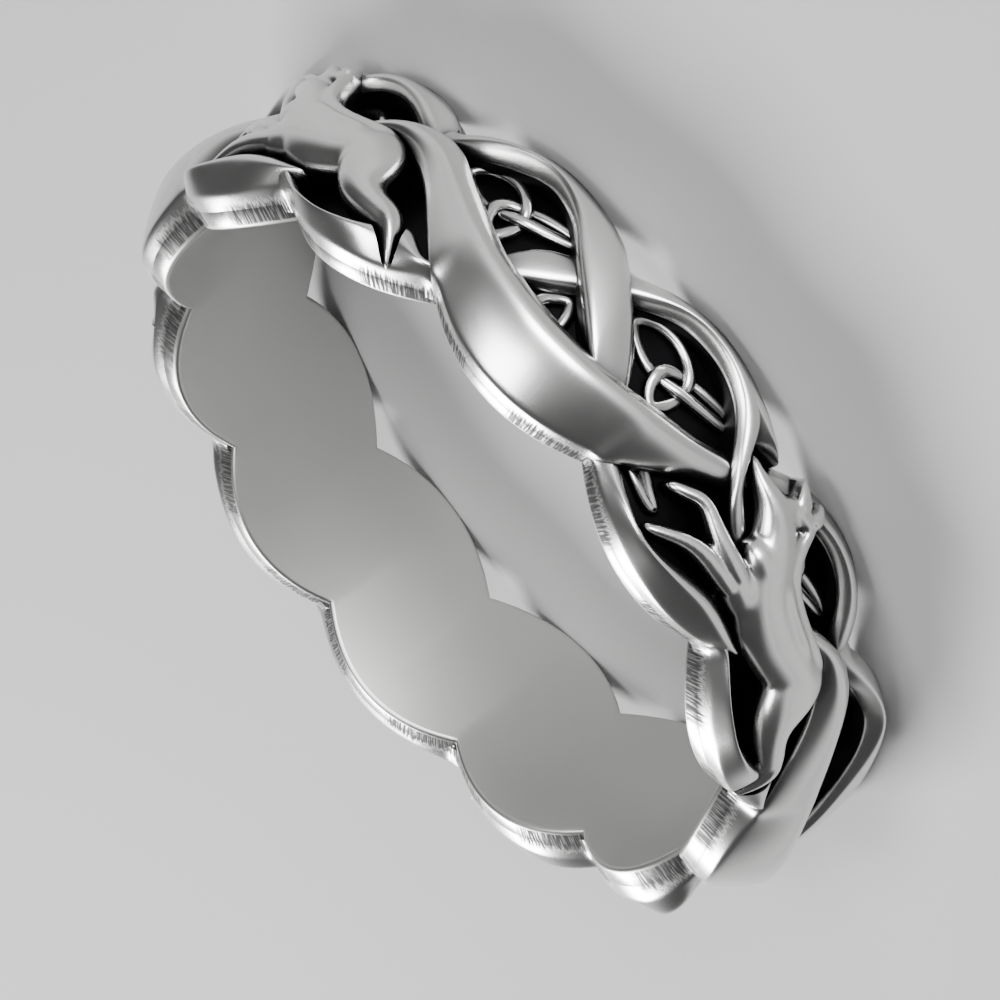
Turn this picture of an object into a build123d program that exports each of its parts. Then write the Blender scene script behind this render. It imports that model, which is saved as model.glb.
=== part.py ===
# Celtic wedding band: a cast ring with a braid of three strands round a scalloped sleeve.
# Four running horses lie in the braid, and the tail of each one widens into a strand.
from build123d import *
from collections import namedtuple
from math import cos, radians, sin
import os

os.makedirs("parts", exist_ok=True)

# Driving sizes, millimetres
bore_diameter = 19.0
band_width = 5.2
recess_wall = 0.55
strand_rise = 1.6
wire_breadth = 0.26
wire_rise = 0.8
horse_rise = 2.0
horse_crown = 0.45
scallop_depth = 0.82

# The pattern: scallops along each edge, and how often the braid with its horse repeats
scallop_count = 12
repeat_count = 4
trim_reach = 1.5

bore_radius = bore_diameter / 2
half_width = band_width / 2
recess_radius = bore_radius + recess_wall
strand_root = bore_radius + recess_wall / 2
pitch = 360 / scallop_count
lobe_length = radians(pitch) * recess_radius
trim_radius = bore_radius + strand_rise + horse_rise


def section_plane(lobe):
    """Plane through the ring's axis, its x pointing outwards and its y up, at a place on the braid."""
    angle = radians(-pitch * (lobe + 1))
    outward = (cos(angle), sin(angle), 0)
    sideways = (sin(angle), -cos(angle), 0)
    return Plane(origin=(0, 0, half_width), x_dir=outward, z_dir=sideways)


# Sections of the strands. lobe: place along the braid, in scallops. low, high: edges, in shares of the half
# width. crest_low, crest_high: edges of the flat top, in shares of the strand's breadth. rise: top above the
# bore, and low_rise, high_rise: its edges above the bore, in shares of strand_rise.
Cut = namedtuple("Cut", "lobe low high crest_low crest_high rise low_rise high_rise")

tail_cuts = [
    Cut(0.12, -0.20, 0.05, 0.30, 0.70, 1.02, 0.84, 0.84),
    Cut(0.46, -0.48, -0.06, 0.30, 0.65, 1.10, 0.90, 0.86),
    Cut(0.62, -0.43, 0.16, 0.25, 0.50, 1.12, 0.92, 0.84),
    Cut(0.78, -0.25, 0.46, 0.22, 0.42, 1.14, 0.92, 0.76),
    Cut(0.94, -0.08, 0.74, 0.20, 0.38, 1.16, 0.92, 0.62),
    Cut(1.10, 0.08, 0.82, 0.19, 0.38, 1.18, 0.92, 0.36),
    Cut(1.30, 0.18, 0.97, 0.18, 0.37, 1.18, 0.92, 0.30),
    Cut(1.50, 0.22, 1.02, 0.18, 0.38, 1.18, 0.92, 0.29),
    Cut(1.70, 0.19, 0.97, 0.18, 0.38, 1.17, 0.90, 0.30),
    Cut(1.88, 0.10, 0.84, 0.18, 0.40, 1.14, 0.88, 0.38),
    Cut(2.04, -0.02, 0.64, 0.20, 0.50, 1.08, 0.84, 0.60),
    Cut(2.20, -0.15, 0.33, 0.22, 0.60, 0.98, 0.76, 0.70),
    Cut(2.34, -0.35, 0.06, 0.25, 0.70, 0.82, 0.62, 0.62),
    Cut(2.48, -0.60, -0.20, 0.25, 0.75, 0.76, 0.58, 0.58),
    Cut(2.64, -0.85, -0.46, 0.40, 0.75, 0.86, 0.40, 0.68),
    Cut(2.80, -0.97, -0.64, 0.50, 0.75, 0.94, 0.31, 0.76),
    Cut(2.98, -1.02, -0.70, 0.55, 0.78, 0.97, 0.30, 0.78),
    Cut(3.16, -0.98, -0.63, 0.50, 0.78, 0.96, 0.31, 0.78),
    Cut(3.32, -0.88, -0.46, 0.40, 0.75, 0.88, 0.36, 0.70),
    Cut(3.44, -0.68, -0.30, 0.30, 0.70, 0.78, 0.55, 0.62),
]

broad_cuts = [
    Cut(0.36, -0.62, -0.20, 0.25, 0.75, 0.70, 0.54, 0.54),
    Cut(0.50, -0.74, -0.40, 0.30, 0.70, 0.80, 0.52, 0.62),
    Cut(0.64, -0.85, -0.51, 0.40, 0.68, 0.92, 0.36, 0.72),
    Cut(0.82, -0.97, -0.64, 0.50, 0.70, 1.00, 0.31, 0.78),
    Cut(1.00, -1.02, -0.70, 0.52, 0.76, 1.02, 0.30, 0.84),
    Cut(1.18, -0.97, -0.57, 0.45, 0.80, 1.04, 0.31, 0.88),
    Cut(1.34, -0.87, -0.30, 0.28, 0.85, 1.06, 0.44, 0.90),
    Cut(1.50, -0.64, -0.04, 0.20, 0.88, 1.06, 0.84, 0.92),
    Cut(1.66, -0.38, 0.21, 0.18, 0.88, 1.00, 0.80, 0.86),
    Cut(1.80, -0.14, 0.42, 0.18, 0.85, 0.84, 0.66, 0.68),
    Cut(1.94, 0.20, 0.66, 0.20, 0.75, 0.76, 0.58, 0.54),
    Cut(2.08, 0.54, 0.79, 0.25, 0.62, 0.86, 0.66, 0.42),
    Cut(2.24, 0.74, 0.93, 0.22, 0.52, 0.96, 0.78, 0.30),
    Cut(2.40, 0.79, 1.00, 0.24, 0.50, 1.00, 0.82, 0.30),
    Cut(2.56, 0.67, 1.01, 0.20, 0.46, 1.02, 0.84, 0.30),
    Cut(2.72, 0.51, 0.96, 0.18, 0.46, 1.02, 0.84, 0.32),
    Cut(2.86, 0.42, 0.85, 0.20, 0.55, 1.00, 0.82, 0.46),
    Cut(3.00, 0.34, 0.66, 0.25, 0.65, 0.94, 0.76, 0.66),
    Cut(3.12, 0.26, 0.44, 0.30, 0.70, 0.84, 0.70, 0.70),
]

crossing_cuts = [
    Cut(-0.24, 0.24, 0.70, 0.20, 0.80, 0.72, 0.56, 0.56),
    Cut(-0.10, 0.44, 0.81, 0.20, 0.75, 0.76, 0.60, 0.50),
    Cut(0.04, 0.60, 0.77, 0.25, 0.60, 0.86, 0.70, 0.42),
    Cut(0.20, 0.74, 0.90, 0.25, 0.52, 0.95, 0.78, 0.30),
    Cut(0.38, 0.79, 1.00, 0.22, 0.48, 0.98, 0.82, 0.30),
    Cut(0.54, 0.70, 1.01, 0.20, 0.46, 0.98, 0.82, 0.30),
    Cut(0.70, 0.53, 0.97, 0.18, 0.48, 0.94, 0.76, 0.32),
    Cut(0.84, 0.31, 0.87, 0.18, 0.60, 0.84, 0.66, 0.42),
    Cut(1.00, 0.00, 0.62, 0.18, 0.82, 0.76, 0.58, 0.56),
    Cut(1.32, -0.46, 0.03, 0.18, 0.82, 0.74, 0.58, 0.58),
    Cut(1.46, -0.70, -0.22, 0.25, 0.80, 0.78, 0.56, 0.60),
    Cut(1.62, -0.83, -0.44, 0.40, 0.78, 0.92, 0.38, 0.74),
    Cut(1.80, -0.97, -0.66, 0.50, 0.76, 1.00, 0.31, 0.82),
    Cut(2.00, -1.02, -0.71, 0.52, 0.76, 1.02, 0.30, 0.84),
    Cut(2.18, -0.98, -0.61, 0.45, 0.80, 1.04, 0.31, 0.88),
    Cut(2.34, -0.62, -0.36, 0.20, 0.75, 1.02, 0.84, 0.84),
    Cut(2.48, -0.30, -0.12, 0.25, 0.75, 0.94, 0.80, 0.80),
    Cut(2.62, -0.08, 0.08, 0.30, 0.70, 0.78, 0.66, 0.66),
]

# The crossing strand forks round the muzzle: this branch runs out along the edge of the band
fork_cuts = [
    Cut(2.04, -1.02, -0.80, 0.50, 0.75, 0.96, 0.31, 0.82),
    Cut(2.18, -0.98, -0.66, 0.45, 0.75, 0.98, 0.31, 0.84),
    Cut(2.32, -0.89, -0.60, 0.45, 0.75, 0.96, 0.34, 0.80),
    Cut(2.42, -0.80, -0.57, 0.45, 0.75, 0.88, 0.42, 0.72),
    Cut(2.50, -0.74, -0.58, 0.40, 0.70, 0.76, 0.55, 0.64),
]

# Sections of the horse from its muzzle to its hind hoof. back, belly: edges, in shares of the half width.
# rise: top of the crown, in shares of horse_rise. crown: height of its arch, in shares of horse_crown.
Girth = namedtuple("Girth", "lobe back belly rise crown")

horse_girths = [
    Girth(2.41, -0.48, -0.40, 0.76, 0.30),
    Girth(2.47, -0.49, -0.30, 0.84, 0.70),
    Girth(2.54, -0.52, -0.24, 0.90, 0.85),
    Girth(2.61, -0.58, -0.15, 0.95, 1.00),
    Girth(2.68, -0.64, 0.02, 0.98, 1.00),
    Girth(2.74, -0.70, 0.34, 1.00, 1.05),
    Girth(2.80, -0.60, 0.47, 1.01, 1.05),
    Girth(2.88, -0.34, 0.51, 1.01, 1.05),
    Girth(2.97, -0.21, 0.53, 0.98, 1.00),
    Girth(3.07, -0.17, 0.50, 0.95, 1.00),
    Girth(3.17, -0.17, 0.42, 0.95, 1.00),
    Girth(3.25, -0.18, 0.52, 0.99, 1.05),
    Girth(3.33, -0.19, 0.68, 1.03, 1.15),
    Girth(3.40, -0.16, 0.73, 1.04, 1.15),
    Girth(3.46, 0.04, 0.72, 1.00, 1.05),
    Girth(3.51, 0.32, 0.67, 0.94, 0.90),
    Girth(3.57, 0.32, 0.62, 0.89, 0.85),
    Girth(3.64, 0.38, 0.64, 0.84, 0.80),
    Girth(3.71, 0.50, 0.74, 0.79, 0.70),
    Girth(3.77, 0.68, 0.87, 0.74, 0.60),
    Girth(3.82, 0.86, 0.94, 0.69, 0.35),
]

# The arch across the horse, in flat facets. across: shares of its breadth. height: shares of its crown.
Facet = namedtuple("Facet", "across height")

horse_arch = [
    Facet(0.00, 0.00),
    Facet(0.18, 0.70),
    Facet(0.50, 1.00),
    Facet(0.82, 0.70),
    Facet(1.00, 0.00),
]

# The forelegs, the second hind hoof and the ears are thin ribbons, their rises again in shares of strand_rise
near_foreleg_cuts = [
    Cut(2.26, 0.25, 0.31, 0.30, 0.70, 0.76, 0.70, 0.70),
    Cut(2.30, 0.20, 0.33, 0.30, 0.70, 0.86, 0.74, 0.74),
    Cut(2.35, 0.14, 0.30, 0.30, 0.70, 0.90, 0.76, 0.76),
    Cut(2.41, 0.06, 0.21, 0.30, 0.70, 0.96, 0.80, 0.80),
    Cut(2.47, 0.08, 0.24, 0.30, 0.70, 0.98, 0.82, 0.82),
    Cut(2.70, 0.14, 0.34, 0.30, 0.70, 1.12, 0.92, 0.92),
    Cut(2.82, 0.17, 0.38, 0.30, 0.70, 1.16, 0.96, 0.96),
]

far_foreleg_cuts = [
    Cut(2.33, 0.68, 0.75, 0.30, 0.70, 0.74, 0.68, 0.68),
    Cut(2.38, 0.61, 0.75, 0.30, 0.70, 0.84, 0.72, 0.72),
    Cut(2.44, 0.50, 0.67, 0.30, 0.70, 0.90, 0.76, 0.76),
    Cut(2.49, 0.41, 0.57, 0.30, 0.70, 0.94, 0.80, 0.80),
    Cut(2.56, 0.32, 0.51, 0.30, 0.70, 0.98, 0.84, 0.84),
    Cut(2.80, 0.26, 0.44, 0.30, 0.70, 1.12, 0.96, 0.96),
]

far_hoof_cuts = [
    Cut(3.74, 0.46, 0.50, 0.30, 0.70, 0.80, 0.72, 0.72),
    Cut(3.79, 0.52, 0.68, 0.30, 0.70, 0.88, 0.74, 0.70),
    Cut(3.84, 0.60, 0.83, 0.30, 0.70, 0.86, 0.70, 0.58),
    Cut(3.90, 0.70, 0.80, 0.30, 0.70, 0.74, 0.60, 0.52),
]

near_ear_cuts = [
    Cut(2.60, -0.78, -0.73, 0.30, 0.70, 0.92, 0.84, 0.84),
    Cut(2.65, -0.76, -0.64, 0.30, 0.70, 1.06, 0.92, 0.92),
    Cut(2.72, -0.72, -0.54, 0.30, 0.70, 1.16, 1.00, 1.00),
]

far_ear_cuts = [
    Cut(2.70, -0.82, -0.76, 0.30, 0.70, 0.90, 0.82, 0.82),
    Cut(2.74, -0.80, -0.64, 0.30, 0.70, 1.08, 0.94, 0.94),
    Cut(2.78, -0.74, -0.54, 0.30, 0.70, 1.12, 1.00, 1.00),
]

# Knots of wire on the floor of the recesses, each of three bowed wires. along: shares of a scallop's length.
# across: shares of the half width.
Bend = namedtuple("Bend", "along across")

knot_wires = [
    [
        Bend(-0.36, -0.46),
        Bend(-0.26, -0.66),
        Bend(-0.10, -0.65),
        Bend(0.02, -0.38),
        Bend(-0.02, -0.04),
    ],
    [
        Bend(-0.03, -0.04),
        Bend(-0.12, -0.30),
        Bend(-0.01, -0.50),
        Bend(0.32, -0.58),
    ],
    [
        Bend(0.32, -0.57),
        Bend(0.00, -0.34),
        Bend(-0.20, -0.29),
        Bend(-0.36, -0.46),
    ],
]

# Where the knots lie. lobe: place along the braid. side: the half of the width that a knot takes, 1 or -1.
# shift: share of the half width that it is moved up. size: its scale.
Seat = namedtuple("Seat", "lobe side shift size")

knot_seats = [
    Seat(0.97, 1, 0.0, 1.0),
    Seat(2.01, 1, 0.0, 1.0),
    Seat(3.00, 1, 0.0, 0.9),
    Seat(1.43, -1, -0.08, 0.9),
]


def strand(cuts):
    """Ribbon of the braid with a flat top between two bevels."""
    with BuildPart() as ribbon:
        for cut in cuts:
            low = cut.low * half_width
            high = cut.high * half_width
            breadth = high - low
            top = bore_radius + cut.rise * strand_rise
            with BuildSketch(section_plane(cut.lobe)):
                with BuildLine():
                    Polyline(
                        (strand_root, low),
                        (bore_radius + cut.low_rise * strand_rise, low),
                        (top, low + cut.crest_low * breadth),
                        (top, low + cut.crest_high * breadth),
                        (bore_radius + cut.high_rise * strand_rise, high),
                        (strand_root, high),
                        close=True,
                    )
                make_face()
        loft(ruled=True)
    return ribbon.part


def horse_body():
    """Head, neck, trunk, haunch and hind leg, arched across."""
    with BuildPart() as body:
        for girth in horse_girths:
            back = girth.back * half_width
            belly = girth.belly * half_width
            crown = girth.crown * horse_crown
            side = bore_radius + girth.rise * horse_rise - crown
            places = [(strand_root, back)]
            for facet in horse_arch:
                places.append((side + facet.height * crown, back + facet.across * (belly - back)))
            places.append((strand_root, belly))
            with BuildSketch(section_plane(girth.lobe)):
                with BuildLine():
                    Polyline(*places, close=True)
                make_face()
        loft(ruled=True)
    return body.part


def knot(seat):
    """Raised outline of a knot, which stands on the sleeve as far as its wires rise."""
    angle = radians(-pitch * (seat.lobe + 1))
    outward = (cos(angle), sin(angle), 0)
    foot = Vector(*outward) * strand_root + Vector(0, 0, half_width)
    with BuildPart() as relief:
        with BuildSketch(Plane(origin=foot, x_dir=(-sin(angle), cos(angle), 0), z_dir=outward)):
            for wire in knot_wires:
                places = []
                for bend in wire:
                    along = bend.along * seat.size * lobe_length
                    across = (bend.across * seat.size * seat.side + seat.shift) * half_width
                    places.append((-along, across))
                with BuildLine():
                    Polyline(*places)
                    offset(amount=wire_breadth / 2, kind=Kind.INTERSECTION)
                make_face()
        extrude(amount=bore_radius + wire_rise - strand_root)
    return relief.part


def trim_solid():
    """Everything that lies between the scalloped edges, made of half scallops set end to end."""
    with BuildPart() as half:
        for step in range(5):
            share = step / 4
            upper = half_width - scallop_depth * (1 - share) ** 2
            lower = half_width - scallop_depth * share ** 2
            with BuildSketch(section_plane(share / 2)):
                with BuildLine():
                    Polyline(
                        (bore_radius - trim_reach, -lower),
                        (trim_radius, -lower),
                        (trim_radius, upper),
                        (bore_radius - trim_reach, upper),
                        close=True,
                    )
                make_face()
        loft(ruled=True)
    with BuildPart() as outline:
        with PolarLocations(0, scallop_count):
            add(half.part)
            add(half.part.mirror(section_plane(0)))
    return outline.part


braid_tables = [
    tail_cuts,
    broad_cuts,
    crossing_cuts,
    fork_cuts,
    near_foreleg_cuts,
    far_foreleg_cuts,
    far_hoof_cuts,
    near_ear_cuts,
    far_ear_cuts,
]

with BuildPart() as repeat:
    add([strand(cuts) for cuts in braid_tables] + [knot(seat) for seat in knot_seats] + [horse_body()])

with BuildPart() as band:
    with Locations((0, 0, half_width)):
        Cylinder(recess_radius, band_width)
    with PolarLocations(0, repeat_count):
        add(repeat.part)
    add(trim_solid(), mode=Mode.INTERSECT)
    with Locations((0, 0, half_width)):
        Cylinder(bore_radius, band_width, mode=Mode.SUBTRACT)

band.part.label = "band"
export_step(band.part, "parts/band.step")
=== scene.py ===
from collections import namedtuple
from math import cos, pi, radians, sin

import bmesh
import bpy
from mathutils import Matrix, Vector


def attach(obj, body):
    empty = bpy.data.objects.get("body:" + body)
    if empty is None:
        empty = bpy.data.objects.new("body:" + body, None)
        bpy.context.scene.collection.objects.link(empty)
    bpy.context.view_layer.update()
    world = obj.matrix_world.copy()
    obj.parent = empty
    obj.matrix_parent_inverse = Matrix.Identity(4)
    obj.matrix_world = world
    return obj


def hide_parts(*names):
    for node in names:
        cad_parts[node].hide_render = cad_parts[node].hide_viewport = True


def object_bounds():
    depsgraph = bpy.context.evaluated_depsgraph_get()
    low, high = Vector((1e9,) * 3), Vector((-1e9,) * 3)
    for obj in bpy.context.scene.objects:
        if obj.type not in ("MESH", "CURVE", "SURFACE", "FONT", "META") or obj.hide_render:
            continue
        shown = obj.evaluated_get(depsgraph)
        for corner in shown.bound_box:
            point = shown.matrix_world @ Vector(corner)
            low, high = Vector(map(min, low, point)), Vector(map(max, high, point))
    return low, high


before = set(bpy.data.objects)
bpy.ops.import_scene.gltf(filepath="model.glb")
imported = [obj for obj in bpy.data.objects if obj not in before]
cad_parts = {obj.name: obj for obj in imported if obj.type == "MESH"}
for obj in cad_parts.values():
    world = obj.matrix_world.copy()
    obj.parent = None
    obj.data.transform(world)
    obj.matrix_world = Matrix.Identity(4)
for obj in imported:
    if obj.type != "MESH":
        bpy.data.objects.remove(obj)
cad_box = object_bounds()

# Sleeve: the plain tube round the finger, cast in sterling silver with the rest of the band. Its two edges
# are scalloped in twelve lobes each, a lobe of one edge opposite a notch of the other.
millimetre = 0.001
hair = 0.001 * millimetre
bore_radius = 9.5 * millimetre
band_width = cad_box[1].z - cad_box[0].z
half_width = band_width / 2
lobe_count = 12
lobe_angle = 2 * pi / lobe_count
notch_depth = 0.82 * millimetre
recess_radius = 10.05 * millimetre
inner_rounding = 0.12 * millimetre
outer_rounding = 0.03 * millimetre
steps_per_lobe = 24


def pick_nothing():
    for thing in bpy.context.selected_objects:
        thing.select_set(False)


def pick_corners(mesh, wanted):
    """Selects the corners of an edited mesh for which wanted is true, and nothing else."""
    for corner in mesh.verts:
        corner.select = wanted(corner.co)
    mesh.select_flush_mode()


def share_to_notch(lobes, side):
    """0 at a lobe's middle and 1 at a notch, on the upper edge (side 1) or the lower one (side -1)."""
    return abs((lobes + (0.5 if side > 0 else 0) + 0.5) % 1 - 0.5) * 2


def notch(share):
    """How far the scalloped edge draws back at a share of the way from a lobe's middle to the notch."""
    return notch_depth * share ** 2


def make_sleeve():
    outline = [
        (bore_radius, 0),
        (bore_radius, band_width),
        (recess_radius, band_width),
        (recess_radius, 0),
    ]
    pick_nothing()
    bpy.ops.mesh.primitive_circle_add(vertices=len(outline), fill_type="NOTHING", enter_editmode=True)
    sleeve = bpy.context.object
    sleeve.name = "sleeve"
    mesh = bmesh.from_edit_mesh(sleeve.data)
    for corner, (radius, height) in zip(mesh.verts, outline):
        corner.co = (radius, 0, height)
    pick_corners(mesh, lambda place: abs(place.x - bore_radius) < hair)
    bmesh.update_edit_mesh(sleeve.data)
    bpy.ops.mesh.bevel(offset=inner_rounding, segments=6, affect="VERTICES")
    mesh = bmesh.from_edit_mesh(sleeve.data)
    pick_corners(mesh, lambda place: abs(place.x - recess_radius) < hair)
    bpy.ops.mesh.bevel(offset=outer_rounding, segments=2, affect="VERTICES")
    bpy.ops.mesh.select_all(action="SELECT")
    bpy.ops.mesh.spin(steps=lobe_count * steps_per_lobe, angle=2 * pi, center=(0, 0, 0), axis=(0, 0, 1))
    bpy.ops.mesh.select_all(action="SELECT")
    bpy.ops.mesh.remove_doubles(threshold=hair)
    steps_to_notch = steps_per_lobe // 2
    for side in (1, -1):
        for step in range(1, steps_to_notch + 1):
            share = step / steps_to_notch

            def at_step(place):
                lobes = Vector(place.xy).angle_signed(Vector((1, 0))) / lobe_angle
                return (place.z - half_width) * side > 0 and abs(share_to_notch(lobes, side) - share) < 0.01

            pick_corners(bmesh.from_edit_mesh(sleeve.data), at_step)
            bpy.ops.transform.translate(value=(0, 0, -side * notch(share)))
    bpy.ops.mesh.select_all(action="SELECT")
    bpy.ops.mesh.normals_make_consistent(inside=False)
    bpy.ops.object.mode_set(mode="OBJECT")
    bpy.ops.object.shade_smooth_by_angle(angle=radians(40))
    return sleeve


sleeve = make_sleeve()


# The finish of the metal: polished silver, with black oxide left in the recesses and on the walls that the
# polishing wheel can't reach, brush strokes across the side faces, and the wall round the finger left satin.
# Painted shade is laid on it too: black in crevices where parts meet, a darker tone near them and under
# crossing strands, and a darker tone on the satin wall round the finger.
# Each reach is where a mask begins to change and where it has changed, mostly as distances from the axis.
side_reach = (0.10 * millimetre, 0.20 * millimetre)
recess_reach = (10.07 * millimetre, 10.13 * millimetre)
wall_reach = (10.70 * millimetre, 11.20 * millimetre)
outside_reach = (9.92 * millimetre, 10.0 * millimetre)
inner_reach = (bore_radius + 0.02 * millimetre, bore_radius + 0.2 * millimetre)
stroke_start = (9.62 * millimetre, 9.70 * millimetre)
stroke_end = (9.65 * millimetre, 9.85 * millimetre)
stroke_wander = 0.06 * millimetre
longest_stroke = 0.9 * millimetre
crevice_reach = 0.60 * millimetre
mottle_scale = 2500
shade_scale = 400
dull_silver = (0.80, 0.80, 0.79, 1)
bright_silver = (0.89, 0.89, 0.88, 1)
# Painted shade: the darker tone of the metal near crevices and under crossing strands
crevice_shade_silver = (0.34, 0.34, 0.34, 1)
# The satin wall round the finger, its tone lowered as painted shade inside the bore
satin_and_shade_silver = (0.60, 0.60, 0.59, 1)
stroke_black = (0.02, 0.02, 0.02, 1)
# Black of the oxide in the recesses, also used for the painted shade in crevices
oxide_and_shade_black = (0.010, 0.010, 0.011, 1)


class Level:
    """A number that changes over a surface. Python's operators on it add Math nodes."""

    def __init__(self, finish, socket):
        self.finish = finish
        self.socket = socket

    def sum_with(self, operation, *others):
        values = {number: other for number, other in enumerate((self,) + others)}
        return self.finish.node("ShaderNodeMath", {"operation": operation}, values)

    def __add__(self, other):
        return self.sum_with("ADD", other)

    def __radd__(self, other):
        return self.sum_with("ADD", other)

    def __sub__(self, other):
        return self.sum_with("SUBTRACT", other)

    def __rsub__(self, other):
        return self.finish.node("ShaderNodeMath", {"operation": "SUBTRACT"}, {0: other, 1: self})

    def __mul__(self, other):
        return self.sum_with("MULTIPLY", other)

    def __rmul__(self, other):
        return self.sum_with("MULTIPLY", other)

    def __truediv__(self, other):
        return self.sum_with("DIVIDE", other)

    def __abs__(self):
        return self.sum_with("ABSOLUTE")


class Finish:
    """A material on the piece's own coordinates."""

    def __init__(self, name):
        self.material = bpy.data.materials.new(name)
        self.material.use_nodes = True
        self.tree = self.material.node_tree
        self.surface = self.tree.nodes["Principled BSDF"]

    def node(self, kind, settings, values, output=0):
        """Adds a node: its settings first, then the numbers, colours or links of its sockets."""
        made = self.tree.nodes.new(kind)
        for name, setting in settings.items():
            setattr(made, name, setting)
        for name, value in values.items():
            self.feed(made.inputs[name], value)
        return Level(self, made.outputs[output])

    def feed(self, socket, value):
        if isinstance(value, Level):
            self.tree.links.new(value.socket, socket)
        else:
            socket.default_value = value

    def set(self, **sockets):
        for name, value in sockets.items():
            self.feed(self.surface.inputs[name.replace("_", " ")], value)

    def part(self, vector, axis):
        return self.node("ShaderNodeSeparateXYZ", {}, {0: vector}, axis)

    def step(self, value, low, high):
        """0 where the value is below low, 1 above high, and a smooth ramp between."""
        settings = {"interpolation_type": "SMOOTHSTEP"}
        values = {"Value": value, "From Min": low, "From Max": high}
        return self.node("ShaderNodeMapRange", settings, values)

    def larger(self, first, second):
        return self.node("ShaderNodeMath", {"operation": "MAXIMUM"}, {0: first, 1: second})

    def noise(self, vector, scale, detail=3, roughness=0.55):
        values = {"Vector": vector, "Scale": scale, "Detail": detail, "Roughness": roughness}
        return self.node("ShaderNodeTexNoise", {}, values)

    def blend(self, share, first, second):
        made = self.tree.nodes.new("ShaderNodeMix")
        made.data_type = "RGBA"
        self.feed(made.inputs[0], share)
        self.feed(made.inputs[6], first)
        self.feed(made.inputs[7], second)
        return Level(self, made.outputs[2])


def silver(name):
    finish = Finish(name)
    place = finish.node("ShaderNodeTexCoord", {}, {}, "Object")
    normal = finish.node("ShaderNodeNewGeometry", {}, {}, "Normal")
    across = finish.part(place, 0)
    deep = finish.part(place, 1)
    height = finish.part(place, 2)
    radius = finish.node("ShaderNodeMath", {"operation": "SQRT"}, {0: across * across + deep * deep})
    angle = finish.node("ShaderNodeMath", {"operation": "ARCTAN2"}, {0: deep, 1: across})
    outward = finish.node("ShaderNodeCombineXYZ", {}, {0: across / radius, 1: deep / radius, 2: 0.0})
    facing_values = {0: normal, 1: outward}
    facing = finish.node("ShaderNodeVectorMath", {"operation": "DOT_PRODUCT"}, facing_values, "Value")

    # How far inside the scalloped edge a point lies, and with it the mask of the side faces
    lobes = angle / lobe_angle
    from_middle = abs(height - half_width)
    shift = finish.node("ShaderNodeMath", {"operation": "GREATER_THAN"}, {0: height, 1: half_width}) * 0.5
    turn = finish.node("ShaderNodeMath", {"operation": "FRACT"}, {0: lobes + shift + 0.5 + lobe_count}) - 0.5
    inside = half_width - turn * turn * 4 * notch_depth - from_middle
    side = 1 - finish.step(inside, *side_reach)
    upright = finish.step(abs(finish.part(normal, 2)), 0.5, 0.8)

    # Black oxide on the floor of the recesses and low on the walls, and painted shade, black, in every
    # crevice where parts meet
    mottle = finish.noise(place, mottle_scale)
    low = 1 - finish.step(radius, *recess_reach)
    steep = 1 - finish.step(facing, 0.05, 0.40)
    below = 1 - finish.step(radius, *wall_reach)
    outside = finish.step(radius, *outside_reach)
    wall = steep * below
    # Painted shade: crevices and places where parts meet, where little of the surroundings is open, are
    # turned black with the oxide
    open_share = finish.node("ShaderNodeAmbientOcclusion", {"samples": 8}, {"Distance": crevice_reach}, "AO")
    painted_crevice_shade = 1 - finish.step(open_share, 0.28, 0.62)
    dark = finish.larger(finish.larger(low, wall), painted_crevice_shade)
    oxide_and_shade = dark * (1 - side) * outside
    oxide_and_shade = finish.step(oxide_and_shade + (mottle - 0.5) * 0.3, 0.25, 0.75)

    # Brush strokes across the side faces from the bore outwards, each of its own length. A lobe has none in
    # its middle.
    lengthwise = finish.node("ShaderNodeCombineXYZ", {}, {0: angle * 170, 1: radius * 600, 2: 0.0})
    strokes = 1 - finish.step(finish.noise(lengthwise, 1.0, 3, 0.7), 0.50, 0.62)
    start = finish.step(radius + mottle * stroke_wander, *stroke_start)
    around = finish.node("ShaderNodeCombineXYZ", {}, {0: angle * 110, 1: 0.0, 2: 0.0})
    length = finish.noise(around, 1.0, 3, 0.7) * longest_stroke
    end = 1 - finish.step(radius - length, *stroke_end)
    stretch = finish.step(abs(turn) + (mottle - 0.5) * 0.1, 0.10, 0.18)
    hatch = strokes * side * upright * start * end * stretch

    # Tones from the bare metal outwards: painted shade near crevices, satin round the finger darkened as
    # painted shade, brushed, blackened by oxide and by painted crevice shade
    inner = 1 - finish.step(radius, *inner_reach)
    shade = finish.noise(place, shade_scale)
    silver_tone = finish.blend(shade, dull_silver, bright_silver)
    # Painted shade: the metal darkens towards crevices and where strands pass under others
    painted_shade_near_crevices = 1 - finish.step(open_share + (mottle - 0.5) * 0.1, 0.62, 0.98)
    crevice_shaded_tone = finish.blend(painted_shade_near_crevices * (1 - inner), silver_tone, crevice_shade_silver)
    # The wall round the finger is satin (rougher), and its darker tone is painted shade inside the bore
    satin_and_shade_tone = finish.blend(inner, crevice_shaded_tone, satin_and_shade_silver)
    brushed_tone = finish.blend(hatch * 0.95, satin_and_shade_tone, stroke_black)
    tone = finish.blend(oxide_and_shade, brushed_tone, oxide_and_shade_black)
    rough = 0.20 + shade * 0.08 + hatch * 0.3 + oxide_and_shade * 0.2 + inner * 0.16
    finish.set(Base_Color=tone, Metallic=1.0, Roughness=rough)
    return finish.material


polished_silver = silver("polished_silver")
sleeve.data.materials.append(polished_silver)
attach(sleeve, "root")
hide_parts("band")


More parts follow.
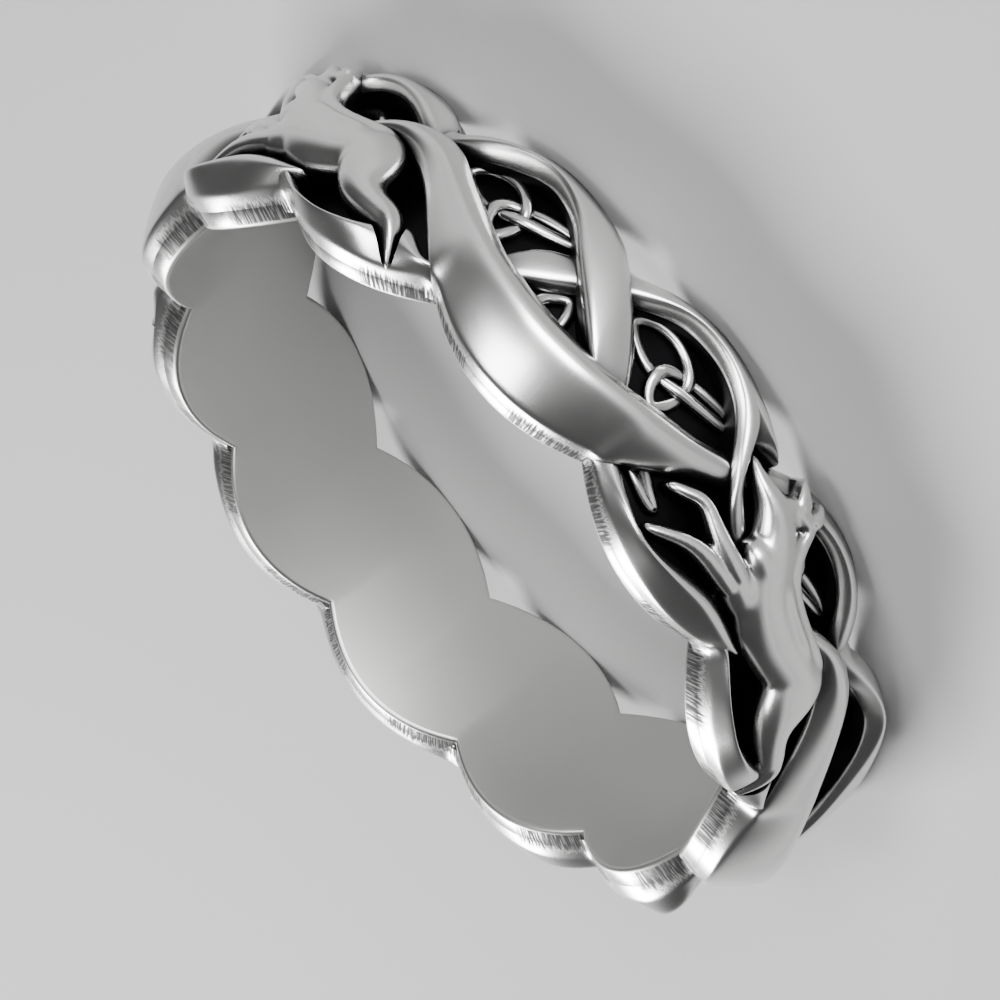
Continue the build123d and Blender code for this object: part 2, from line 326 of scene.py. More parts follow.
# Strands of the braid: flat-topped bands with a bevel along each side, cast standing on the sleeve. Each
# quarter of the ring repeats three, the tail strand, the broad strand and the crossing strand, and the last
# one's fork round a horse's muzzle is drawn apart. They are drawn flat, and bent round the hole afterwards.
#
# A cut gives a strand's section at a place that is counted in lobes. Its two sides are shares of the band's
# half width, the crest's two sides are shares of the strand's breadth, and the last three are rises above the
# bore in millimetres: the crest's, the low edge's and the high edge's.
Cut = namedtuple("Cut", "lobe low high crest_low crest_high top low_edge high_edge")
half_in_mm = half_width / millimetre
strand_root = 9.75
side_inset = 0.006
foot_support = 0.05
edge_rounding = 0.06
crest_rounding = 0.15
most_rounding = 0.35
crest_crown = 0.03
facet_bulge = 0.05
sections_per_lobe = 20
quarter_count = 4

tail_cuts = [
    Cut(0.12, -0.20, 0.05, 0.30, 0.70, 1.62, 1.34, 1.34),
    Cut(0.30, -0.38, -0.16, 0.30, 0.70, 1.74, 1.40, 1.40),
    Cut(0.46, -0.48, -0.11, 0.30, 0.66, 1.80, 1.42, 1.42),
    Cut(0.62, -0.43, 0.07, 0.28, 0.56, 1.82, 1.46, 1.45),
    Cut(0.78, -0.25, 0.36, 0.24, 0.48, 1.85, 1.47, 1.45),
    Cut(0.94, -0.08, 0.66, 0.21, 0.42, 1.87, 1.48, 1.40),
    Cut(1.02, 0.00, 0.82, 0.20, 0.41, 1.88, 1.48, 1.28),
    Cut(1.12, 0.09, 0.98, 0.19, 0.40, 1.89, 1.48, 1.12),
    Cut(1.30, 0.18, 1.06, 0.18, 0.38, 1.90, 1.48, 1.02),
    Cut(1.50, 0.22, 1.10, 0.18, 0.38, 1.90, 1.48, 1.00),
    Cut(1.70, 0.19, 1.06, 0.18, 0.38, 1.88, 1.44, 1.00),
    Cut(1.88, 0.10, 0.94, 0.18, 0.40, 1.83, 1.40, 1.04),
    Cut(2.04, -0.02, 0.68, 0.20, 0.46, 1.75, 1.36, 1.12),
    Cut(2.20, -0.15, 0.35, 0.22, 0.60, 1.60, 1.24, 1.16),
    Cut(2.34, -0.35, 0.06, 0.25, 0.70, 1.34, 1.02, 1.02),
    Cut(2.48, -0.60, -0.20, 0.25, 0.75, 1.22, 0.92, 0.92),
    Cut(2.64, -0.86, -0.46, 0.40, 0.75, 1.38, 0.96, 1.08),
    Cut(2.80, -1.02, -0.64, 0.50, 0.76, 1.50, 1.00, 1.22),
    Cut(2.98, -1.08, -0.70, 0.52, 0.78, 1.55, 1.00, 1.26),
    Cut(3.16, -1.02, -0.63, 0.50, 0.78, 1.54, 1.00, 1.26),
    Cut(3.32, -0.86, -0.46, 0.40, 0.75, 1.41, 0.96, 1.12),
    Cut(3.44, -0.68, -0.30, 0.30, 0.70, 1.25, 0.92, 1.00),
]

broad_cuts = [
    Cut(0.36, -0.62, -0.20, 0.25, 0.75, 1.12, 0.86, 0.86),
    Cut(0.50, -0.80, -0.40, 0.30, 0.70, 1.28, 0.84, 0.98),
    Cut(0.64, -0.94, -0.51, 0.40, 0.66, 1.47, 0.98, 1.10),
    Cut(0.82, -1.04, -0.64, 0.50, 0.66, 1.60, 1.00, 1.12),
    Cut(1.00, -1.08, -0.70, 0.52, 0.72, 1.63, 1.00, 1.22),
    Cut(1.18, -1.04, -0.57, 0.45, 0.78, 1.66, 1.00, 1.36),
    Cut(1.34, -0.90, -0.30, 0.28, 0.85, 1.70, 1.10, 1.44),
    Cut(1.50, -0.64, -0.04, 0.20, 0.88, 1.70, 1.34, 1.46),
    Cut(1.66, -0.38, 0.21, 0.18, 0.88, 1.60, 1.28, 1.38),
    Cut(1.80, -0.14, 0.42, 0.18, 0.85, 1.30, 1.02, 1.06),
    Cut(1.94, 0.20, 0.66, 0.20, 0.75, 0.92, 0.80, 0.74),
    Cut(2.08, 0.50, 0.90, 0.25, 0.62, 1.02, 0.86, 0.80),
    Cut(2.24, 0.71, 1.00, 0.30, 0.56, 1.42, 1.12, 0.94),
    Cut(2.40, 0.79, 1.06, 0.30, 0.54, 1.60, 1.26, 1.00),
    Cut(2.56, 0.67, 1.06, 0.30, 0.52, 1.63, 1.28, 1.00),
    Cut(2.72, 0.52, 1.00, 0.28, 0.52, 1.62, 1.30, 1.00),
    Cut(2.80, 0.50, 0.94, 0.26, 0.54, 1.60, 1.30, 1.02),
    Cut(2.90, 0.50, 0.82, 0.24, 0.58, 1.54, 1.28, 1.06),
    Cut(3.00, 0.50, 0.67, 0.25, 0.65, 1.42, 1.22, 1.02),
    Cut(3.08, 0.48, 0.54, 0.30, 0.70, 1.28, 1.12, 1.06),
]

crossing_cuts = [
    Cut(-0.24, 0.24, 0.70, 0.20, 0.80, 1.15, 0.90, 0.90),
    Cut(-0.10, 0.44, 0.84, 0.20, 0.75, 1.22, 0.96, 0.90),
    Cut(0.04, 0.60, 0.84, 0.25, 0.60, 1.38, 1.12, 0.94),
    Cut(0.20, 0.76, 0.96, 0.30, 0.54, 1.50, 1.20, 1.00),
    Cut(0.30, 0.81, 1.02, 0.30, 0.52, 1.54, 1.22, 1.00),
    Cut(0.40, 0.83, 1.06, 0.30, 0.50, 1.56, 1.22, 1.00),
    Cut(0.50, 0.78, 1.06, 0.30, 0.50, 1.56, 1.22, 1.00),
    Cut(0.60, 0.69, 1.06, 0.28, 0.50, 1.54, 1.24, 1.00),
    Cut(0.68, 0.58, 1.03, 0.24, 0.50, 1.50, 1.26, 1.00),
    Cut(0.745, 0.47, 1.00, 0.20, 0.50, 1.48, 1.30, 1.00),
    Cut(0.80, 0.51, 0.98, 0.20, 0.54, 1.46, 1.30, 1.00),
    Cut(0.86, 0.585, 0.95, 0.20, 0.56, 1.44, 1.30, 1.02),
    Cut(0.92, 0.64, 0.90, 0.20, 0.60, 1.42, 1.28, 1.05),
    Cut(0.96, 0.61, 0.86, 0.20, 0.66, 1.36, 1.20, 1.04),
    Cut(1.00, 0.46, 0.76, 0.18, 0.72, 1.20, 1.04, 0.96),
    Cut(1.06, 0.16, 0.60, 0.16, 0.78, 1.04, 0.88, 0.82),
    Cut(1.16, -0.23, 0.34, 0.16, 0.78, 1.16, 0.92, 0.86),
    Cut(1.32, -0.46, 0.03, 0.18, 0.78, 1.18, 0.92, 0.86),
    Cut(1.46, -0.70, -0.22, 0.25, 0.78, 1.26, 0.90, 0.94),
    Cut(1.62, -0.92, -0.44, 0.40, 0.74, 1.47, 0.98, 1.14),
    Cut(1.80, -1.04, -0.66, 0.50, 0.70, 1.60, 1.00, 1.18),
    Cut(2.00, -1.08, -0.71, 0.50, 0.74, 1.63, 1.00, 1.26),
    Cut(2.18, -1.04, -0.60, 0.45, 0.78, 1.66, 1.00, 1.40),
    Cut(2.28, -0.90, -0.44, 0.40, 0.78, 1.66, 1.08, 1.42),
    Cut(2.36, -0.58, -0.27, 0.30, 0.75, 1.62, 1.36, 1.38),
    Cut(2.42, -0.375, -0.18, 0.28, 0.75, 1.55, 1.32, 1.34),
    Cut(2.47, -0.27, -0.08, 0.25, 0.75, 1.49, 1.32, 1.34),
    Cut(2.56, -0.18, 0.04, 0.25, 0.75, 1.40, 1.24, 1.26),
    Cut(2.66, -0.11, 0.13, 0.25, 0.75, 1.28, 1.14, 1.14),
    Cut(2.73, -0.06, 0.15, 0.25, 0.75, 1.12, 1.00, 1.00),
]

fork_cuts = [
    Cut(2.10, -1.06, -0.72, 0.50, 0.74, 1.58, 1.00, 1.34),
    Cut(2.20, -1.02, -0.64, 0.45, 0.74, 1.63, 1.00, 1.38),
    Cut(2.30, -0.92, -0.55, 0.30, 0.56, 1.63, 1.04, 1.32),
    Cut(2.36, -0.84, -0.51, 0.28, 0.50, 1.60, 1.06, 1.24),
    Cut(2.41, -0.80, -0.575, 0.28, 0.50, 1.54, 1.06, 1.16),
    Cut(2.46, -0.75, -0.60, 0.30, 0.55, 1.44, 1.04, 1.10),
    Cut(2.51, -0.70, -0.61, 0.30, 0.60, 1.26, 1.00, 1.02),
]


def spot(lobe, across, rise):
    """Point of the flat braid: lobes along it, millimetres from its middle and millimetres above the bore."""
    along = bore_radius * (pi / 3 - lobe_angle * lobe)
    return Vector((along, -rise * millimetre, half_width + across * millimetre))


def filled_in(cuts):
    """Cuts at even steps along a strand, on a smooth curve through those of its table."""
    first, last = cuts[0].lobe, cuts[-1].lobe
    count = round((last - first) * sections_per_lobe)
    places = [first + (last - first) * step / count for step in range(count + 1)]
    table = [cuts[0]] + cuts + [cuts[-1]]
    made = []
    for place in places:
        number = max(index for index in range(len(cuts) - 1) if cuts[index].lobe <= place)
        before, start, end, after = table[number:number + 4]
        step = end.lobe - start.lobe
        share = (place - start.lobe) / step
        rest = 1 - share
        values = []
        for past, here, there, coming in zip(before, start, end, after):
            slope_in = (there - past) / max(end.lobe - before.lobe, step) * step
            slope_out = (coming - here) / max(after.lobe - start.lobe, step) * step
            values.append(here * (1 + 2 * share) * rest ** 2 + slope_in * share * rest ** 2
                          + there * share ** 2 * (3 - 2 * share) - slope_out * share ** 2 * rest)
        made.append(Cut(place, *values[1:]))
    return made


def edge_of_band(lobe, side):
    """Millimetres from the band's middle to its scalloped edge."""
    return side * (half_width - notch(share_to_notch(lobe, side))) / millimetre


def strand_section(cut):
    """Corners of a strand's section, from its low foot over the top to its high foot."""
    low = max(cut.low * half_in_mm, edge_of_band(cut.lobe, -1) + side_inset)
    high = min(cut.high * half_in_mm, edge_of_band(cut.lobe, 1) - side_inset)
    breadth = high - low
    crest_low = low + cut.crest_low * breadth
    crest_high = low + cut.crest_high * breadth
    foot = strand_root - bore_radius / millimetre
    outline = [
        (low, foot, 0),
        (low, foot + foot_support, 0),
        (low, cut.low_edge, edge_rounding),
        ((low + crest_low) / 2, (cut.low_edge + cut.top) / 2 + facet_bulge * (crest_low - low), 0),
        (crest_low, cut.top, crest_rounding),
        ((crest_low + crest_high) / 2, cut.top + crest_crown, 0),
        (crest_high, cut.top, crest_rounding),
        ((crest_high + high) / 2, (cut.top + cut.high_edge) / 2 + facet_bulge * (high - crest_high), 0),
        (high, cut.high_edge, edge_rounding),
        (high, foot + foot_support, 0),
        (high, foot, 0),
    ]
    corners = []
    for number, (across, rise, rounding) in enumerate(outline):
        if not rounding:
            corners.append((across, rise))
            continue
        for near in (outline[number - 1], outline[number + 1]):
            reach = ((near[0] - across) ** 2 + (near[1] - rise) ** 2) ** 0.5
            share = min(rounding / max(reach, 0.001), most_rounding)
            corners.append((across + (near[0] - across) * share, rise + (near[1] - rise) * share))
    return [spot(cut.lobe, across, rise) for across, rise in corners]


def drawn_out(name, sections):
    """Solid through a row of sections: the first is filled, and each next one extruded from the last."""
    pick_nothing()
    bpy.ops.mesh.primitive_circle_add(vertices=len(sections[0]), fill_type="NGON", enter_editmode=True)
    piece = bpy.context.object
    piece.name = name
    for number, section in enumerate(sections):
        if number:
            bpy.ops.mesh.extrude_region_move()
        mesh = bmesh.from_edit_mesh(piece.data)
        end = next(face for face in mesh.faces if face.select)
        for corner, place in zip(end.verts, section):
            corner.co = place
        bmesh.update_edit_mesh(piece.data)
    bpy.ops.mesh.select_all(action="SELECT")
    bpy.ops.mesh.normals_make_consistent(inside=False)
    bpy.ops.object.mode_set(mode="OBJECT")
    bpy.ops.object.shade_smooth()
    return piece


def finish_with(piece, kind, **settings):
    """Adds a modifier to a piece and applies it."""
    modifier = piece.modifiers.new(kind.lower(), kind)
    for name, setting in settings.items():
        setattr(modifier, name, setting)
    bpy.context.view_layer.objects.active = piece
    bpy.ops.object.modifier_apply(modifier=modifier.name)


def bend_round(piece):
    """Bends a piece that was modelled flat round the finger hole."""
    reach = [corner.co.x for corner in piece.data.vertices]
    turn = (max(reach) - min(reach)) / bore_radius
    finish_with(piece, "SIMPLE_DEFORM", deform_method="BEND", deform_axis="Z", angle=turn)
    piece.data.transform(Matrix.Translation((0, -bore_radius, 0)))


def set_round(piece):
    """Copies a finished piece to each quarter of the band, and puts all of them on it."""
    name = piece.name
    copies = [piece]
    for quarter in range(1, quarter_count):
        copy = bpy.data.objects.new(name, piece.data.copy())
        bpy.context.scene.collection.objects.link(copy)
        copies.append(copy)
    for quarter, copy in enumerate(copies):
        copy.data.transform(Matrix.Rotation(quarter * pi / 2, 4, "Z"))
        copy.name = f"{name}_{quarter + 1}"
        copy.data.materials.clear()
        copy.data.materials.append(polished_silver)
        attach(copy, "root")
        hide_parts("band")


# The groove in which a horse's hind hoof lies is cut across the crossing strand while that is still flat. Its
# places are in lobes along and in shares of the half width across. Its breadth, and its depth, which is the
# rise of its floor above the bore, are in millimetres.
Groove = namedtuple("Groove", "lobe across breadth depth")
relief_stretch = 1.15
lobe_in_mm = relief_stretch * bore_radius / millimetre * lobe_angle
groove_corners = [(-0.5, 0), (-0.5, 0.1), (-0.5, 1.3), (0.5, 1.3), (0.5, 0.1), (0.5, 0)]
groove_table = [
    Groove(0.56, 0.54, 1.00, 0.60),
    Groove(0.60, 0.545, 1.02, 0.62),
    Groove(0.65, 0.55, 1.00, 0.70),
    Groove(0.70, 0.605, 0.88, 0.82),
    Groove(0.742, 0.705, 0.62, 0.92),
    Groove(0.775, 0.80, 0.44, 0.98),
    Groove(0.80, 0.88, 0.22, 1.01),
    Groove(0.812, 0.93, 0.06, 1.03),
]


def with_neighbours(row):
    """Each place of a row with the ones before and after it. An end of the row is its own neighbour."""
    return zip(row, row[:1] + row[:-1], row[1:] + row[-1:])


def run_between(before, after):
    """Direction from one place of a row to another, on the flat braid."""
    along = (after.lobe - before.lobe) * lobe_in_mm
    across = (after.across - before.across) * half_in_mm
    return Vector((along, across)).normalized()


def beside(place, run, share, rise):
    """Point at a share of a place's breadth to one side of it, square to the run of its row."""
    lobe = place.lobe - run.y * share * place.breadth / lobe_in_mm
    across = place.across * half_in_mm + run.x * share * place.breadth
    return spot(lobe, across, rise)


def make_groove():
    """Solid that fills the groove, to be cut out of the strand."""
    sections = []
    for cut, before, after in with_neighbours(groove_table):
        run = run_between(before, after)
        sections.append([beside(cut, run, share, cut.depth + rise) for share, rise in groove_corners])
    groove = drawn_out("groove", sections)
    finish_with(groove, "SUBSURF", levels=2, render_levels=2)
    return groove


strand_tables = {
    "tail_strand": tail_cuts,
    "broad_strand": broad_cuts,
    "crossing_strand": crossing_cuts,
    "strand_fork": fork_cuts,
}
for name, cuts in strand_tables.items():
    strand = drawn_out(name, [strand_section(cut) for cut in filled_in(cuts)])
    finish_with(strand, "SUBSURF", levels=2, render_levels=2)
    if name == "crossing_strand":
        groove = make_groove()
        finish_with(strand, "BOOLEAN", operation="DIFFERENCE", solver="EXACT", object=groove)
        bpy.data.objects.remove(groove)
        pick_nothing()
        strand.select_set(True)
        bpy.ops.object.shade_smooth_by_angle(angle=radians(50))
    bend_round(strand)
    set_round(strand)


# Horses: four of them run round the band, in full relief, with the head stretched out between the strands.
# Each is cast with the rest, its forelegs reaching forward over the recess and its hind hoof on the edge of
# the band.
#
# The body's parts are cast together and smoothed well, so that they flow into each other. The forelegs, the
# ears and the claw are then cast onto it and smoothed less. A girth gives a limb's breadth and the rise of
# its top in millimetres, at a place counted in lobes and in shares of the half width. The crown is the height
# in millimetres over which a limb's top is round.
Girth = namedtuple("Girth", "lobe across breadth rise")
Limb = namedtuple("Limb", "crown girths")
limb_foot = 0.25
crown_steps = 8
fullest_crown = 0.6
horse_voxel = 0.042 * millimetre
body_smoothing = 36
detail_smoothing = 5

horse_body = {
    "trunk": Limb(0.72, [
        Girth(2.375, -0.485, 0.10, 1.46),
        Girth(2.405, -0.465, 0.24, 1.58),
        Girth(2.435, -0.435, 0.30, 1.66),
        Girth(2.47, -0.405, 0.36, 1.75),
        Girth(2.515, -0.385, 0.48, 1.84),
        Girth(2.565, -0.385, 0.70, 1.93),
        Girth(2.62, -0.365, 0.96, 2.00),
        Girth(2.68, -0.31, 1.14, 2.03),
        Girth(2.73, -0.23, 1.26, 2.04),
        Girth(2.765, -0.15, 1.36, 2.04),
        Girth(2.80, -0.06, 1.52, 2.03),
        Girth(2.845, 0.05, 1.64, 2.02),
        Girth(2.91, 0.13, 1.74, 2.02),
        Girth(2.98, 0.165, 1.80, 2.00),
        Girth(3.06, 0.165, 1.76, 1.97),
        Girth(3.14, 0.15, 1.66, 1.93),
        Girth(3.22, 0.13, 1.60, 1.95),
        Girth(3.30, 0.10, 1.40, 1.99),
        Girth(3.37, 0.05, 1.00, 1.94),
        Girth(3.42, 0.02, 0.50, 1.50),
    ]),
    "breast": Limb(0.60, [
        Girth(2.64, 0.005, 0.16, 1.56),
        Girth(2.665, 0.00, 0.50, 1.80),
        Girth(2.71, -0.01, 0.90, 2.00),
        Girth(2.78, 0.00, 1.10, 2.05),
        Girth(2.88, 0.02, 0.80, 1.96),
    ]),
    "poll": Limb(0.36, [
        Girth(2.60, -0.45, 0.30, 1.88),
        Girth(2.65, -0.51, 0.52, 1.95),
        Girth(2.71, -0.555, 0.60, 1.95),
        Girth(2.77, -0.59, 0.36, 1.88),
    ]),
    "leg_root": Limb(0.50, [
        Girth(2.63, 0.32, 0.40, 1.40),
        Girth(2.69, 0.31, 0.72, 1.74),
        Girth(2.76, 0.29, 0.96, 1.86),
        Girth(2.85, 0.27, 1.10, 1.90),
        Girth(2.94, 0.25, 0.90, 1.70),
    ]),
    "mane": Limb(0.20, [
        Girth(2.755, -0.68, 0.16, 1.80),
        Girth(2.77, -0.59, 0.26, 1.88),
        Girth(2.79, -0.47, 0.30, 1.93),
        Girth(2.82, -0.35, 0.32, 1.94),
        Girth(2.87, -0.245, 0.30, 1.92),
        Girth(2.94, -0.17, 0.30, 1.86),
        Girth(3.05, -0.14, 0.28, 1.80),
        Girth(3.20, -0.14, 0.28, 1.78),
        Girth(3.31, -0.155, 0.28, 1.80),
        Girth(3.38, -0.15, 0.16, 1.70),
    ]),
    "back_line": Limb(0.14, [
        Girth(2.87, -0.13, 0.16, 1.98),
        Girth(2.95, -0.05, 0.24, 2.00),
        Girth(3.05, -0.03, 0.24, 1.96),
        Girth(3.16, -0.03, 0.24, 1.94),
        Girth(3.26, -0.04, 0.16, 1.92),
    ]),
    "haunch": Limb(0.56, [
        Girth(3.27, -0.14, 0.50, 1.55),
        Girth(3.31, -0.06, 1.20, 1.90),
        Girth(3.345, 0.06, 1.58, 1.99),
        Girth(3.37, 0.20, 1.62, 2.03),
        Girth(3.41, 0.36, 1.42, 2.02),
        Girth(3.46, 0.475, 1.10, 1.96),
        Girth(3.525, 0.525, 0.90, 1.89),
        Girth(3.59, 0.54, 0.80, 1.83),
        Girth(3.65, 0.55, 0.78, 1.78),
        Girth(3.70, 0.605, 0.66, 1.68),
        Girth(3.742, 0.705, 0.48, 1.50),
        Girth(3.775, 0.80, 0.30, 1.28),
        Girth(3.797, 0.87, 0.10, 1.08),
    ]),
}

horse_details = {
    "claw": Limb(0.30, [
        Girth(3.62, 0.53, 0.36, 1.78),
        Girth(3.67, 0.565, 0.44, 1.78),
        Girth(3.72, 0.645, 0.38, 1.66),
        Girth(3.76, 0.755, 0.28, 1.43),
        Girth(3.79, 0.85, 0.14, 1.20),
        Girth(3.802, 0.89, 0.05, 1.08),
    ]),
    "near_foreleg": Limb(0.24, [
        Girth(2.265, 0.305, 0.14, 1.18),
        Girth(2.30, 0.275, 0.30, 1.36),
        Girth(2.35, 0.225, 0.32, 1.48),
        Girth(2.405, 0.145, 0.36, 1.60),
        Girth(2.47, 0.17, 0.38, 1.66),
        Girth(2.55, 0.22, 0.46, 1.76),
        Girth(2.63, 0.25, 0.52, 1.86),
        Girth(2.72, 0.26, 0.56, 1.90),
        Girth(2.80, 0.26, 0.30, 1.84),
    ]),
    "far_foreleg": Limb(0.24, [
        Girth(2.34, 0.735, 0.14, 1.22),
        Girth(2.375, 0.69, 0.30, 1.38),
        Girth(2.43, 0.60, 0.32, 1.50),
        Girth(2.49, 0.50, 0.38, 1.62),
        Girth(2.56, 0.43, 0.46, 1.70),
        Girth(2.65, 0.40, 0.50, 1.78),
        Girth(2.74, 0.38, 0.50, 1.80),
        Girth(2.82, 0.36, 0.30, 1.74),
    ]),
    "near_ear": Limb(0.14, [
        Girth(2.586, -0.765, 0.05, 1.70),
        Girth(2.605, -0.715, 0.18, 1.80),
        Girth(2.63, -0.66, 0.32, 1.90),
        Girth(2.66, -0.60, 0.46, 1.97),
        Girth(2.69, -0.54, 0.40, 1.97),
    ]),
    "far_ear": Limb(0.14, [
        Girth(2.722, -0.80, 0.05, 1.66),
        Girth(2.732, -0.755, 0.18, 1.76),
        Girth(2.745, -0.70, 0.30, 1.86),
        Girth(2.757, -0.64, 0.36, 1.92),
        Girth(2.765, -0.57, 0.28, 1.94),
    ]),
}


def limb_section(girth, run, crown):
    """Corners of a limb's section square to its run: two feet, and a round crown between them."""
    crown = min(crown, fullest_crown * girth.breadth)
    outline = [(-0.5, limb_foot)]
    for step in range(crown_steps + 1):
        turn = pi * step / crown_steps
        outline.append((-0.5 * cos(turn), girth.rise - crown + crown * sin(turn)))
    outline.append((0.5, limb_foot))
    return [beside(girth, run, share, rise) for share, rise in outline]


def cast_together(limb_tables, others, smoothing):
    """One closed, smoothed piece of several limbs and of pieces that are there already."""
    pieces = list(others)
    for name, limb in limb_tables.items():
        sections = []
        for girth, before, after in with_neighbours(limb.girths):
            sections.append(limb_section(girth, run_between(before, after), limb.crown))
        made = drawn_out(name, sections)
        finish_with(made, "SUBSURF", levels=2, render_levels=2)
        pieces.append(made)
    pick_nothing()
    for piece in pieces:
        piece.select_set(True)
    bpy.context.view_layer.objects.active = pieces[0]
    bpy.ops.object.join()
    joined = bpy.context.object
    finish_with(joined, "REMESH", mode="VOXEL", voxel_size=horse_voxel, use_smooth_shade=True)
    finish_with(joined, "SMOOTH", factor=0.5, iterations=smoothing)
    return joined


horse = cast_together(horse_body, [], body_smoothing)
horse = cast_together(horse_details, [horse], detail_smoothing)
horse.name = "horse"
bend_round(horse)
set_round(horse)


# Knots: a three-cornered knot of thin wire lies on the floor of each recess, cast with the band. The wire
# passes over and under itself in turn.
#
# Points of the run are lobes along, shares of the half width across, and 1 where the wire lies over another,
# -1 where it lies under. A place has its lobe, 1 or -1 for upright or upside down, its size and a shift
# across in millimetres.
KnotPlace = namedtuple("KnotPlace", "lobe turned size shift")
wire_radius = 0.155
wire_rise = 0.68
wire_step = 0.11
knot_middle = -0.36
knot_run = [
    (-0.37, -0.45, 0), (-0.30, -0.60, 0), (-0.18, -0.655, 0), (-0.08, -0.61, 0), (0.0, -0.49, 1),
    (0.03, -0.34, -1), (0.02, -0.18, 0), (-0.02, -0.03, 0), (-0.09, -0.14, 0), (-0.12, -0.28, 1),
    (-0.10, -0.41, 0), (-0.02, -0.49, -1), (0.10, -0.55, 0), (0.22, -0.60, 0), (0.32, -0.58, 0),
    (0.24, -0.50, 0), (0.12, -0.42, 0), (0.02, -0.345, 1), (-0.10, -0.285, -1), (-0.19, -0.28, -1),
    (-0.29, -0.35, -1),
]
knot_places = [
    KnotPlace(0.97, 1, 1.0, 0),
    KnotPlace(2.01, 1, 1.0, 0),
    KnotPlace(3.0, 1, 0.9, 0),
    KnotPlace(1.45, -1, 1.0, -0.45),
    KnotPlace(2.13, -1, 0.7, -0.05),
]


def make_knot(name, knot):
    outline = bpy.data.curves.new(name, "CURVE")
    outline.dimensions = "3D"
    outline.bevel_depth = wire_radius * millimetre
    outline.bevel_resolution = 3
    outline.resolution_u = 8
    line = outline.splines.new("NURBS")
    line.points.add(len(knot_run) - 1)
    for point, (along, across, over) in zip(line.points, knot_run):
        lobe = knot.lobe + along * knot.size
        share = (knot_middle + (across - knot_middle) * knot.size) * knot.turned
        place = spot(lobe, share * half_in_mm + knot.shift, wire_rise + wire_step * over)
        point.co = (*place, 1)
    line.order_u = 3
    line.use_cyclic_u = True
    wire = bpy.data.objects.new(name, outline)
    bpy.context.scene.collection.objects.link(wire)
    pick_nothing()
    wire.select_set(True)
    bpy.context.view_layer.objects.active = wire
    bpy.ops.object.convert(target="MESH")
    return bpy.context.object


for number, knot_place in enumerate(knot_places):
    knot = make_knot(f"knot{number + 1}", knot_place)
    bpy.ops.object.shade_smooth()
    bend_round(knot)
    set_round(knot)


# Floor: a plain pale board under the ring, faintly uneven in tone, wide enough to fill the picture.
board_size = 2.0
board_dark = (0.50, 0.50, 0.50, 1)
board_pale = (0.54, 0.54, 0.54, 1)
bpy.ops.mesh.primitive_plane_add(size=board_size, location=(0, 0, 0))
board = bpy.context.object
board.name = "floor"
board_finish = Finish("pale_board")
board_grain = board_finish.noise(board_finish.node("ShaderNodeTexCoord", {}, {}, "Object"), 30)
board_finish.set(Base_Color=board_finish.blend(board_grain, board_dark, board_pale), Roughness=0.6)
board.data.materials.append(board_finish.material)


# Camera at the photograph's angle, with its long lens rolled as there. It looks at the middle of the ring,
# and is then turned a little, so that the ring lies in the picture where it lies in the photograph.
picture_pixels = 1000
lens_pixels = 5089.5
sensor_width = 36
camera_distance = 125.0 * millimetre
camera_azimuth = radians(-86.76)
camera_height = radians(22.11)
camera_roll = radians(128.12)
pan = -0.000619
tilt = -0.003646
ring_middle = Vector((0, 0, 2.17 * millimetre))


def direction_of(azimuth, height):
    return Vector((cos(height) * cos(azimuth), cos(height) * sin(azimuth), sin(height)))


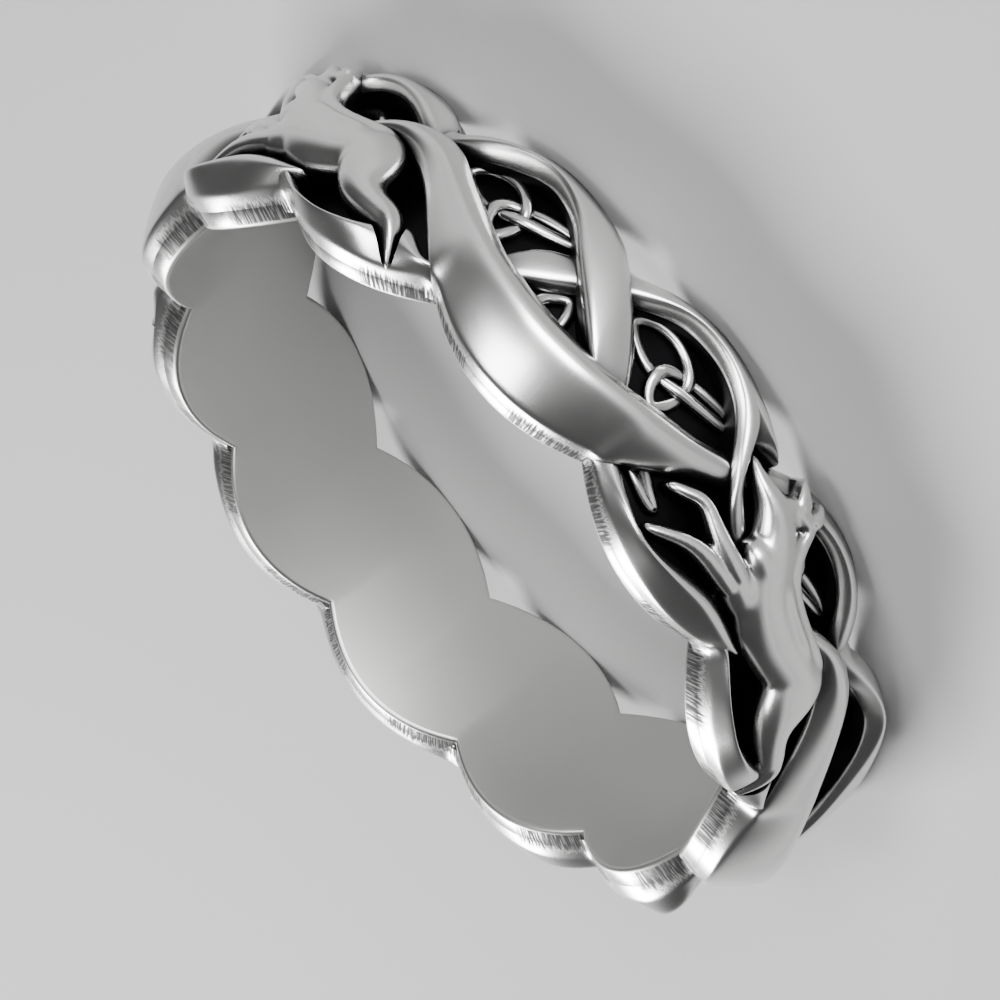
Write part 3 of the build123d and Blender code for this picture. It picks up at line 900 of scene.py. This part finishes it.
back = direction_of(camera_azimuth, camera_height)
level_right = Vector((0, 0, 1)).cross(back).normalized()
level_up = back.cross(level_right)
right = level_right * cos(pan) + back * sin(pan)
facing_back = back * cos(pan) - level_right * sin(pan)
up = level_up * cos(tilt) - facing_back * sin(tilt)
facing_back = facing_back * cos(tilt) + level_up * sin(tilt)
rolled_right = right * cos(camera_roll) - up * sin(camera_roll)
rolled_up = right * sin(camera_roll) + up * cos(camera_roll)
lens = bpy.data.cameras.new("camera")
lens.lens = lens_pixels / picture_pixels * sensor_width
lens.sensor_width = sensor_width
lens.clip_start = 0.005
lens.clip_end = 10
camera = bpy.data.objects.new("camera", lens)
bpy.context.scene.collection.objects.link(camera)
axes = Matrix((rolled_right, rolled_up, facing_back)).transposed().to_4x4()
camera.matrix_world = Matrix.Translation(ring_middle + back * camera_distance) @ axes
bpy.context.scene.camera = camera


# Soft studio light round the ring, from square panels. The one behind lights the floor most, and the low one
# in front lights the side faces.
def soft_light(name, azimuth, height, distance, size, power):
    """Square panel that looks at the ring: its distance and size in metres, its power in watts."""
    lamp = bpy.data.lights.new(name, "AREA")
    lamp.size = size
    lamp.energy = power
    light = bpy.data.objects.new(name, lamp)
    bpy.context.scene.collection.objects.link(light)
    towards = direction_of(azimuth, height)
    light.location = towards * distance
    light.rotation_mode = "QUATERNION"
    light.rotation_quaternion = towards.to_track_quat("Z", "Y")


soft_light("key_light", radians(-52), radians(54), distance=0.30, size=0.12, power=0.6)
soft_light("front_light", radians(-70), radians(10), distance=0.40, size=0.20, power=2.2)
soft_light("back_light", radians(100), radians(36), distance=0.30, size=0.12, power=1.2)

# The studio's walls are bright near the floor and grow darker upwards, to a ceiling that is nearly black.
# Heights are those of a direction seen from the ring, 0 at the floor's level and 1 straight up.
wall_brightness = 0.90
ceiling_brightness = 0.06
ceiling_height = 0.45
studio = bpy.data.worlds.new("studio")
studio.use_nodes = True
nodes = studio.node_tree.nodes
links = studio.node_tree.links
direction = nodes.new("ShaderNodeTexCoord")
split = nodes.new("ShaderNodeSeparateXYZ")
fade = nodes.new("ShaderNodeMapRange")
fade.interpolation_type = "SMOOTHSTEP"
fade.inputs["From Min"].default_value = 0.0
fade.inputs["From Max"].default_value = ceiling_height
fade.inputs["To Min"].default_value = wall_brightness
fade.inputs["To Max"].default_value = ceiling_brightness
links.new(direction.outputs["Generated"], split.inputs[0])
links.new(split.outputs["Z"], fade.inputs["Value"])
links.new(fade.outputs[0], nodes["Background"].inputs["Strength"])
nodes["Background"].inputs["Color"].default_value = (1, 1, 1, 1)
bpy.context.scene.world = studio
